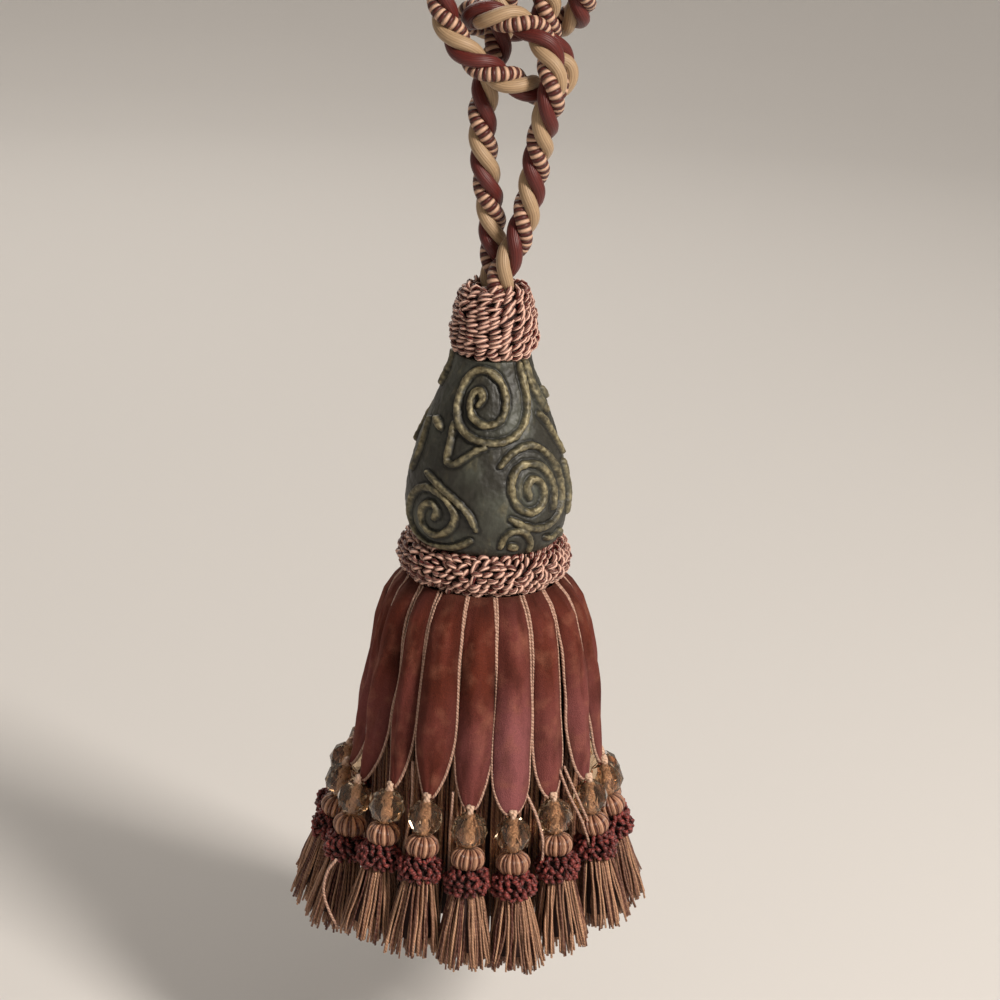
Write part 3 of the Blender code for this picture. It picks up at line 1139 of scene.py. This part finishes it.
@dataclass
class InnerSkirt:
    """Long yarns hanging inside the petals, round a packed core that is dark as painted shade."""

    palette: Palette
    yarns: int = 420
    yarn_radius: float = 0.42
    points: int = 13
    # Drop from the skirt's top, and how far from the axis a yarn hangs there.
    hang: tuple[Station, ...] = (
        (4.0, 26.0), (10.0, 29.6), (21.0, 31.6), (34.0, 33.4), (49.0, 34.6), (64.0, 35.0),
        (90.0, 35.0), (117.0, 36.5),
    )
    stray_radius: float = 0.5
    # Heading in degrees, drop from the skirt's top and distance from the axis.
    stray_routes: tuple[tuple[tuple[float, float, float], ...], ...] = (
        (
            (43.0, 56.0, 41.0), (47.0, 66.0, 44.0), (52.0, 76.0, 47.0), (56.0, 90.0, 50.0),
            (58.0, 106.0, 53.0),
        ),
        (
            (46.0, 56.0, 41.5), (50.5, 66.0, 44.5), (55.5, 77.0, 47.5), (59.5, 91.0, 50.5),
            (60.5, 108.0, 53.5),
        ),
        (
            (24.0, 60.0, 40.0), (29.0, 70.0, 44.5), (31.0, 80.0, 47.0), (30.0, 90.0, 46.0),
            (27.0, 98.0, 43.0),
        ),
        (
            (-50.0, 90.0, 57.5), (-51.5, 94.5, 60.0), (-52.0, 102.0, 61.0), (-48.5, 108.0, 61.0),
            (-45.0, 113.0, 60.0),
        ),
        (
            (-30.0, 54.0, 40.0), (-29.0, 70.0, 41.0), (-31.0, 90.0, 44.0), (-33.0, 112.0, 47.0),
        ),
        (
            (-9.0, 62.0, 40.0), (-9.5, 78.0, 41.0), (-8.5, 96.0, 43.0), (-9.0, 114.0, 45.0),
        ),
        (
            (132.0, 58.0, 41.0), (136.0, 76.0, 43.5), (134.0, 94.0, 46.0), (138.0, 111.0, 50.0),
        ),
        (
            (-148.0, 58.0, 41.0), (-150.0, 78.0, 44.0), (-146.0, 96.0, 46.0),
            (-149.0, 112.0, 50.0),
        ),
    )

    def build(self, dice: random.Random) -> None:
        """Turns the core and hangs the yarns over it."""
        low, high = box_of("inner_skirt")
        radius, top, foot = high.x, high.z, low.z
        core = Outline((
            (0.0, top), (19.0, top), (24.4, top - 3.8), (28.0, top - 10.0), (30.4, top - 21.0),
            (32.2, top - 34.0), (33.4, top - 49.0), (33.8, top - 64.0), (33.8, top - 90.0),
            (34.6, foot + 7.0), (0.0, foot + 8.0),
        ))
        mesh = core.spun("inner_skirt", 72)
        mesh.materials.append(self.palette.core)
        fitted("inner_skirt", mesh, Slot.YARN, "inner_skirt")
        yarn = YarnMesh("inner_yarn", self.yarn_radius, 4, [self.palette.fringe])
        for number in range(self.yarns):
            turn = 2 * math.pi * (number + dice.uniform(-0.5, 0.5)) / self.yarns
            depth = dice.uniform(0.0, 1.0)
            start = top - dice.uniform(4.0, 40.0)
            end = foot + abs(dice.gauss(0.0, 2.2)) - 0.6
            drift = dice.uniform(-0.05, 0.05)
            line = []
            for index in range(self.points):
                share = index / (self.points - 1)
                height = start + (end - start) * share
                ring = float(np.interp(top - height, *zip(*self.hang)))
                ring += depth * 1.6 + 0.5 * wobble(number, share, 3.0)
                angle = turn + drift * share + 0.018 * wobble(number + 0.5, share, 2.6)
                ring = min(ring, radius + 1.5)
                ring -= 0.75 * pressed(angle) * math.sin(math.pi * share)
                line.append(around(ring, angle, height))
            yarn.lay(line, min(1.0, max(0.0, dice.gauss(0.35, 0.3))))
        fitted("inner_yarn", yarn.mesh(), Slot.YARN)
        self.strays(top)

    def strays(self, top: float) -> None:
        """The loose twisted cords that have slipped out between the pendants."""
        yarn = YarnMesh("stray_cords", self.stray_radius, 6, [self.palette.piping])
        for number, stations in enumerate(self.stray_routes):
            line = [
                around(ring, math.radians(heading), top - drop) for heading, drop, ring in stations
            ]
            yarn.lay(curve_through(line, 26), 0.8 + 0.1 * (number % 3))
        fitted("stray_cords", yarn.mesh(), Slot.YARN)


# ---------------------------------------------------------------- pendants


@dataclass(frozen=True)
class PetalLook:
    """How one petal differs: width, how far it stands out, how it rolls, and how rosy it is."""

    width: float
    tuck: float
    roll: float
    rose: float
    taper: float


PETAL_LOOKS = (
    PetalLook(1.0, -0.5, 0.3, 0.35, 0.6), PetalLook(1.02, 0.5, -0.1, 0.95, 0.0),
    PetalLook(1.0, -0.2, -0.5, 0.42, 0.2), PetalLook(0.98, 0.3, 0.4, 0.5, 0.4),
    PetalLook(0.96, -0.3, -0.4, 0.4, 0.5), PetalLook(1.0, 0.3, 0.3, 0.6, 0.3),
    PetalLook(0.97, -0.4, 0.4, 0.3, 0.7), PetalLook(1.02, 0.3, -0.3, 0.75, 0.2),
    PetalLook(0.98, -0.3, 0.4, 0.4, 0.5), PetalLook(1.0, 0.3, -0.5, 0.55, 0.3),
    PetalLook(0.98, -0.4, 0.3, 0.35, 0.6), PetalLook(1.03, 0.4, 0.2, 0.8, 0.1),
    PetalLook(0.97, -0.3, -0.4, 0.3, 0.5), PetalLook(1.0, 0.1, 0.4, 0.5, 0.7),
    PetalLook(0.97, -0.3, -0.3, 0.4, 0.6), PetalLook(1.0, 0.0, -0.5, 0.28, 0.9),
    PetalLook(0.84, -0.9, 0.6, 0.2, 0.8), PetalLook(1.08, 0.4, 0.2, 0.15, 0.9),
)


@dataclass(frozen=True)
class Hanger:
    """Where one pendant hangs: its bead's middle, its heading and its petal's foot."""

    index: int
    middle: Vector
    lean: float = math.radians(9.0)

    @property
    def tag(self) -> str:
        """Its number, as the nodes have it."""
        return f"{self.index + 1:02d}"

    @property
    def even(self) -> float:
        """The heading of its even place."""
        return 2 * math.pi * self.index / PENDANT_COUNT

    @property
    def heading(self) -> float:
        """The bead's own heading."""
        return math.atan2(self.middle.x, -self.middle.y)

    @property
    def swing(self) -> float:
        """How far the bead is from its even place."""
        return (self.heading - self.even + math.pi) % (2 * math.pi) - math.pi

    def place(self) -> Matrix:
        """The pendant's frame: origin at the bead's middle, -Y outwards, leaning out."""
        turned = Euler((-self.lean, 0.0, self.heading)).to_matrix().to_4x4()
        return Matrix.Translation(self.middle) @ turned

    def set_down(self, drop: float = 0.0) -> Matrix:
        """The pendant's frame for a mesh in metres, this many millimetres further down."""
        place = self.place() @ Matrix.Translation((0.0, 0.0, -drop))
        place.translation *= MM
        return place


@dataclass
class Petal:
    """A velvet tongue, crowned across and piped round its edge."""

    palette: Palette
    hanger: Hanger
    look: PetalLook
    # Share of the way down, distance from the axis, half width, crown at the middle.
    rows: tuple[tuple[float, float, float, float], ...] = (
        (0.0, 25.6, 4.0, 0.3), (0.06, 29.6, 4.7, 0.9), (0.14, 32.6, 5.2, 1.5),
        (0.28, 35.2, 5.6, 2.1), (0.45, 37.2, 5.95, 2.5), (0.60, 38.6, 6.25, 2.6),
        (0.72, 39.6, 6.45, 2.5), (0.80, 40.3, 6.35, 2.2), (0.87, 41.0, 5.9, 1.8),
        (0.93, 41.7, 4.7, 1.2), (0.97, 42.3, 3.3, 0.7), (0.99, 42.7, 2.1, 0.3),
        (1.0, 43.0, 1.0, 0.0),
    )
    thickness: float = 0.9
    columns: int = 14
    ranks: int = 44
    piping_radius: float = 0.54
    folds: int = 3
    # The distance from the axis at which beads hang evenly.
    bead_ring: float = 45.0
    # How much longer the velvet is than its height, because it bulges.
    ease: float = 1.05

    def spot(self, across: float, down: float) -> Vector:
        """A point of the petal.

        Args:
            across: From -1 at its left edge to 1 at its right.
            down: From 0 at its top to 1 at its tip.

        Returns:
            The point, in millimetres.
        """
        low, high = self.span
        look, hanger = self.look, self.hanger
        columns = list(zip(*self.rows))
        radius, half, crown = (
            float(np.interp(down, columns[0], column)) for column in columns[1:]
        )
        seed = hanger.index * 3.7
        half *= look.width * (1 + 0.06 * wobble(seed + across, down, 4.0))
        half *= 1 - 0.42 * look.taper * smooth_step(0.62, 1.0, down)
        reach = hanger.middle.xy.length - self.bead_ring
        fade = math.sin(math.pi * min(1.0, down)) ** 0.6
        radius += reach * down + crown * (1.45 * (1 - across * across) - 0.35)
        radius += fade * (look.tuck + look.roll * across * 1.3 - pressed(hanger.even))
        for fold in range(self.folds):
            line = -0.55 + 0.5 * fold + 0.32 * wobble(seed + fold, down, 2.2)
            depth = 0.5 + 0.75 * wobble(seed + fold + 9, down, 3.0)
            radius -= fade * depth * math.exp(-(((across - line) / 0.2) ** 2))
        radius += 0.6 * fade * wobble(seed + 5, down + 0.25 * across, 5.0)
        turn = hanger.even + hanger.swing * down**1.4 + across * half / radius
        turn += 0.012 * fade * wobble(seed + 2, down, 2.4)
        return around(radius, turn, high + (low - high) * down)

    @property
    def span(self) -> tuple[float, float]:
        """The heights of its tip and its top, from the CAD petal."""
        low, high = box_of(f"petal_{self.hanger.tag}")
        return low.z - SAG, high.z

    def grid(self) -> bmesh.types.BMesh:
        """The velvet's grid, laid on the petal, with its map, its shade and its edge, where the
        velvet is darkened as painted shade.
        """
        low, high = self.span
        shape = bmesh.new()
        map_layer = shape.loops.layers.uv.new("UVMap")
        shade_layer = shape.verts.layers.float.new("shade")
        edge_shade_layer = shape.verts.layers.float.new("edge")
        bmesh.ops.create_grid(shape, x_segments=self.columns, y_segments=self.ranks, size=1.0)
        seed = self.hanger.index * 2.3
        for vertex in shape.verts:
            across, down = vertex.co.x, (1 - vertex.co.y) / 2
            down = 1 - (1 - down) ** 1.25
            for loop in vertex.link_loops:
                loop[map_layer].uv = (across * 7.0 + seed * 40, down * (high - low) + seed * 17)
            rosy = self.look.rose * (0.15 + 1.05 * smooth_step(0.25, 0.7, down))
            vertex[shade_layer] = rosy + 0.12 * wobble(seed, down, 3.0)
            # Painted shade at the edges, where the petals curve in, and at the top under the ruff.
            vertex[edge_shade_layer] = max(abs(across) ** 3, 1 - smooth_step(0.0, 0.16, down))
            vertex.co = self.spot(across, down) * MM
        bmesh.ops.recalc_face_normals(shape, faces=shape.faces)
        return shape

    def sheet(self) -> bpy.types.Object:
        """The velvet, thickened, with its piping."""
        low, high = self.span
        tag = self.hanger.tag
        shape = self.grid()
        area = sum(face.calc_area() for face in shape.faces)
        mesh = meshed(shape, "velvet")
        mesh.materials.append(self.palette.velvet)
        piece = fitted(f"velvet_{tag}", mesh, Slot.VELVET, f"petal_{tag}")
        wall = piece.modifiers.new("velvet", "SOLIDIFY")
        wall.thickness = self.thickness * MM
        wall.offset = 0.0
        piping = self.piping()
        width = 2 * max(row[2] for row in self.rows) * self.look.width * MM
        length = (high - low) * MM * self.ease
        min(area, width * length)
        return piece

    def piping(self) -> bpy.types.Object:
        """The twisted cord sewn round the petal's edge, down one side and up the other."""
        downs = [0.99 * (1 - (1 - step / 46) ** 1.5) for step in range(47)]
        rim = [self.spot(-1.0, down) for down in downs]
        rim += [self.spot(1.0, down) for down in reversed(downs)]
        line = []
        for spot in spaced(rim, 120):
            out = Vector((spot.x, spot.y, 0.0)).normalized()
            line.append(spot + out * 0.25)
        name = f"piping_{self.hanger.tag}"
        yarn = YarnMesh(name, self.piping_radius, 6, [self.palette.piping])
        yarn.lay(line, 0.75)
        return fitted(name, yarn.mesh(), Slot.VELVET)


@dataclass
class Bead:
    """A round glass bead cut in staggered facets."""

    palette: Palette
    hanger: Hanger
    radius: float = 6.15
    # Latitude of each ring of corners, and how many corners it has.
    rings: tuple[tuple[float, int], ...] = (
        (66.0, 6), (32.0, 8), (-4.0, 8), (-38.0, 8), (-68.0, 6)
    )

    def build(self) -> bpy.types.Object:
        """Wraps the rings of corners in flat facets."""
        shape = bmesh.new()
        for number, (latitude, corners) in enumerate(self.rings):
            high = math.radians(latitude)
            for corner in range(corners):
                turn = 2 * math.pi * (corner + 0.5 * (number % 2)) / corners
                flat = math.cos(high)
                spot = Vector((flat * math.cos(turn), flat * math.sin(turn), math.sin(high)))
                shape.verts.new(spot * self.radius * MM)
        bmesh.ops.convex_hull(shape, input=shape.verts, use_existing_faces=False)
        bmesh.ops.dissolve_limit(
            shape, angle_limit=math.radians(3.0), verts=shape.verts, edges=shape.edges
        )
        bmesh.ops.recalc_face_normals(shape, faces=shape.faces)
        bmesh.ops.transform(shape, matrix=self.hanger.set_down(SAG), verts=shape.verts)
        mesh = meshed(shape, "bead", smooth=False)
        mesh.materials.append(self.palette.glass)
        tag = self.hanger.tag
        return fitted(f"glass_{tag}", mesh, Slot.GLASS, f"bead_{tag}")


@dataclass
class SmallTassel:
    """Under a bead: a ball of ribs, a ruff of loops and a skirt of cut yarn."""

    palette: Palette
    hanger: Hanger
    rib_count: int = 20
    rib_radius: float = 0.86
    # Thickness of a rib from its top to its foot, and how a pale and a dark rib differ.
    rib_taper: tuple[float, ...] = (0.6, 0.8, 1.0, 1.0, 1.0, 1.0, 1.0, 0.8, 0.6)
    pale_rib: float = 1.02
    dark_rib: float = 0.92
    ball_radius: float = 4.95
    ball_middle: float = -10.6
    ball_half: float = 3.5
    cord_top: float = 8.2
    cord_length: float = 13.6
    ruff_level: float = -18.4
    skirt_top: float = -20.5
    skirt_foot: float = -46.2
    skirt_ring: float = 4.8
    yarns: int = 165
    yarn_radius: float = 0.42
    tufts: int = 15
    points: int = 8

    def core(self, stations: tuple[Station, ...], steps: int) -> bpy.types.Mesh:
        """A closed core of this outline, in the pendant's place, later finished dark as painted
        shade between the yarns.
        """
        mesh = Outline(stations).spun("core", steps)
        mesh.transform(self.hanger.set_down())
        return mesh

    def ball(self, dice: random.Random) -> bpy.types.Object:
        """The ribbed ball, with the cord that carries it up through the bead."""
        palette, place = self.palette, self.hanger.place()
        name = f"ball_{self.hanger.tag}"
        yarn = YarnMesh(name, self.rib_radius, 6, [palette.ribs, palette.bead_cord, palette.core])
        middle, half = self.ball_middle, self.ball_half
        slant = dice.uniform(-0.25, 0.35)
        last = len(self.rib_taper) - 1
        for rib in range(self.rib_count):
            start = 2 * math.pi * rib / self.rib_count
            line = []
            for index in range(last + 1):
                rise = math.radians(74 - 148 * index / last)
                ring = self.ball_radius * math.cos(rise) ** 0.8
                turn = start + slant * index / last
                height = middle + half * math.sin(rise)
                line.append(place @ Vector((ring * math.cos(turn), ring * math.sin(turn), height)))
            pale = rib % 2 == 1
            thick = self.pale_rib if pale else self.dark_rib
            shade = dice.uniform(0.6, 0.9) if pale else dice.uniform(0.0, 0.12)
            yarn.lay(line, shade, [thick * width for width in self.rib_taper])
        for start in (0.0, math.pi):
            line = []
            for index in range(22):
                height = self.cord_top - SAG - self.cord_length * index / 21
                turn = start + height * 0.9
                line.append(place @ Vector((0.55 * math.cos(turn), 0.55 * math.sin(turn), height)))
            yarn.lay(line, 1.0, finish=1)
        core = self.core((
            (0.0, middle + half - 0.2), (2.6, middle + half - 0.6), (4.3, middle + 1.3),
            (4.3, middle - 1.3), (2.6, middle - half + 0.6), (0.0, middle - half + 0.2),
        ), 12)
        return fitted(name, yarn.mesh([core]), Slot.YARN, f"mini_tassel_{self.hanger.tag}")

    def ruff(self, dice: random.Random) -> bpy.types.Object:
        """The ruff of maroon loops."""
        level = self.ruff_level
        cover = Outline((
            (3.4, level + 3.4), (4.9, level + 3.1), (5.9, level + 1.8), (6.2, level),
            (5.9, level - 1.7), (5.2, level - 3.2),
        ), smooth=30)
        gimp = LoopedGimp(
            cover, loop=3.0, bulge=1.1, row_gap=1.75, column_gap=2.5, tilt=70.0, lean=0.0,
            scatter=36.0, pale_share=0.45, points=5,
        )
        name = f"small_ruff_{self.hanger.tag}"
        yarn = YarnMesh(name, 0.84, 4, [self.palette.small_loops, self.palette.core])
        gimp.lay(yarn, self.hanger.place(), dice)
        core = self.core((
            (0.0, level + 3.0), (4.0, level + 2.7), (5.1, level + 1.2), (5.2, level - 1.6),
            (4.5, level - 3.0), (0.0, level - 3.4),
        ), 14)
        return fitted(name, yarn.mesh([core]), Slot.YARN)

    def gathers(self, dice: random.Random) -> list[tuple[Vector, float]]:
        """Where the skirt's tufts gather at its foot, and how much shorter each one is."""
        found = []
        for tuft in range(self.tufts):
            turn = tuft * GOLDEN_ANGLE
            ring = 10.4 * math.sqrt((tuft + 0.7) / self.tufts) + dice.uniform(-0.8, 1.0)
            spot = Vector((ring * math.cos(turn), ring * math.sin(turn), 0.0))
            found.append((spot, dice.uniform(-0.9, 1.1)))
        return found

    def skirt(self, dice: random.Random) -> bpy.types.Object:
        """The skirt of cut yarn, ragged at its foot."""
        place, index = self.hanger.place(), self.hanger.index
        name = f"small_skirt_{self.hanger.tag}"
        yarn = YarnMesh(name, self.yarn_radius, 4, [self.palette.fringe, self.palette.core])
        tufts = self.gathers(dice)
        for number in range(self.yarns):
            turn = number * GOLDEN_ANGLE + dice.uniform(-0.2, 0.2)
            share_out = math.sqrt((number + 0.5) / self.yarns)
            own = Vector((math.cos(turn), math.sin(turn), 0.0))
            foot = own * (10.0 * share_out + dice.uniform(-0.7, 1.0))
            near, shorter = min(tufts, key=lambda tuft: (tuft[0] - foot).length)
            foot = foot.lerp(near, dice.uniform(0.1, 0.55))
            ragged = dice.uniform(-0.4, 1.8) * (1.2 - 0.5 * share_out)
            end = self.skirt_foot + shorter + ragged
            stray = 1.0 if dice.random() < 0.06 else 0.0
            side = Vector((-own.y, own.x, 0.0)) * dice.uniform(-1.0, 1.0) * (1.0 + 2.2 * stray)
            line = []
            for point in range(self.points):
                share = point / (self.points - 1)
                spot = (own * self.skirt_ring * share_out).lerp(foot, share**0.85)
                spot += side * math.sin(math.pi * share) * 0.6 + own * stray * 1.4 * share**2
                spot.x += 0.3 * wobble(number + index, share, 3.2)
                spot.y += 0.3 * wobble(number + 0.5, share, 3.2)
                spot.z = self.skirt_top + (end - self.skirt_top) * share
                line.append(place @ spot)
            thick = dice.uniform(0.72, 1.1)
            shade = min(1.0, max(0.0, dice.gauss(0.46, 0.36)))
            yarn.lay(line, shade, [thick] * self.points)
        core = self.core((
            (0.0, self.skirt_top + 1.0), (4.2, self.skirt_top), (5.2, -28.0), (6.0, -36.0),
            (6.2, -41.0), (0.0, -41.5),
        ), 12)
        return fitted(name, yarn.mesh([core]), Slot.YARN)


# ---------------------------------------------------------------- surroundings


@dataclass
class Setting:
    """The camera, the soft lights and the pale bowl that the tassel hangs in, in metres."""

    lens: float = 86.4
    viewpoint: Place = (0.0045, -0.7517, 0.0138)
    # Degrees up from looking straight down, and degrees of roll.
    tilt: float = 71.0
    roll: float = 2.735
    aim: Place = (0.0, 0.0, -0.22)
    floor_gap: float = 0.06
    bowl_radius: float = 3.2
    bowl_height: float = 3.4
    sweep: float = 1.4

    def camera(self) -> None:
        """The camera: level with the loop's top, looking down at the mould, slightly rolled."""
        data = bpy.data.cameras.new("camera")
        data.sensor_width = 36.0
        data.lens = self.lens
        data.clip_start, data.clip_end = 0.05, 20.0
        camera = bpy.data.objects.new("camera", data)
        turned = Matrix.Rotation(math.radians(self.tilt), 4, "X")
        turned = turned @ Matrix.Rotation(math.radians(self.roll), 4, "Z")
        camera.matrix_world = Matrix.Translation(self.viewpoint) @ turned
        bpy.context.scene.collection.objects.link(camera)
        bpy.context.scene.camera = camera

    def lamp(self, name: str, place: Place, size: float, power: float, tint: Colour) -> None:
        """A square area light that faces the tassel.

        Args:
            name: Its name.
            place: Where it stands, in metres.
            size: Its side, in metres.
            power: Its power, in watts.
            tint: Its colour.
        """
        data = bpy.data.lights.new(name, "AREA")
        data.shape, data.size, data.energy, data.color = "SQUARE", size, power, tint
        light = bpy.data.objects.new(name, data)
        turned = (Vector(self.aim) - Vector(place)).to_track_quat("-Z", "Y").to_matrix().to_4x4()
        light.matrix_world = Matrix.Translation(place) @ turned
        bpy.context.scene.collection.objects.link(light)

    def lights(self) -> None:
        """A warm key from the upper right, a weak fill, a light behind, and pale surroundings."""
        self.lamp("key", (1.1, -0.95, 0.75), 0.4, 37.0, (1.0, 0.94, 0.87))
        self.lamp("fill", (-1.3, -1.1, 0.2), 1.4, 0.9, (0.95, 0.96, 1.0))
        self.lamp("back", (-0.5, 1.5, 1.1), 1.2, 16.0, (1.0, 0.96, 0.9))
        world = bpy.data.worlds.new("room")
        world.use_nodes = True
        sky = world.node_tree.nodes["Background"]
        sky.inputs[0].default_value = (1.0, 0.97, 0.93, 1.0)
        sky.inputs[1].default_value = 0.19
        bpy.context.scene.world = world
        bpy.context.scene.view_settings.view_transform = "Standard"

    def bowl(self, foot: float) -> None:
        """The floor, swept up all round into a wall.

        Args:
            foot: The tassel's lowest height, in metres.
        """
        level = foot - self.floor_gap
        flat = self.bowl_radius - self.sweep
        stations = [(0.0, level), (flat, level)]
        for step in range(1, 13):
            turn = math.radians(90 * step / 12)
            rise = self.sweep * (1 - math.cos(turn))
            stations.append((flat + self.sweep * math.sin(turn), level + rise))
        stations.append((self.bowl_radius, level + self.bowl_height))
        outline = Outline(tuple((radius / MM, height / MM) for radius, height in stations))
        mesh = outline.spun("backdrop", 64)
        mesh.materials.append(BackdropFinish().material())
        new_piece("backdrop", mesh)


def main() -> None:
    """Builds the tassel from its rope down."""
    logging.basicConfig(level=logging.INFO, format="%(message)s")
    setting = Setting()
    setting.camera()
    palette = Palette()
    HangingRope(palette).build()
    trim = GimpTrim(palette)
    trim.cap(random.Random(11))
    trim.ruff(random.Random(12))
    Mould(palette).build()
    InnerSkirt(palette).build(random.Random(13))
    for index in range(PENDANT_COUNT):
        low, high = box_of(f"bead_{index + 1:02d}")
        hanger = Hanger(index, (low + high) / 2)
        dice = random.Random(100 + index)
        Petal(palette, hanger, PETAL_LOOKS[index]).sheet()
        Bead(palette, hanger).build()
        tassel = SmallTassel(palette, hanger)
        tassel.ball(dice)
        tassel.ruff(dice)
        tassel.skirt(dice)
    setting.lights()
    setting.bowl(CAD_BOX[0].z)
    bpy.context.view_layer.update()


if __name__ == "__main__":
    main()
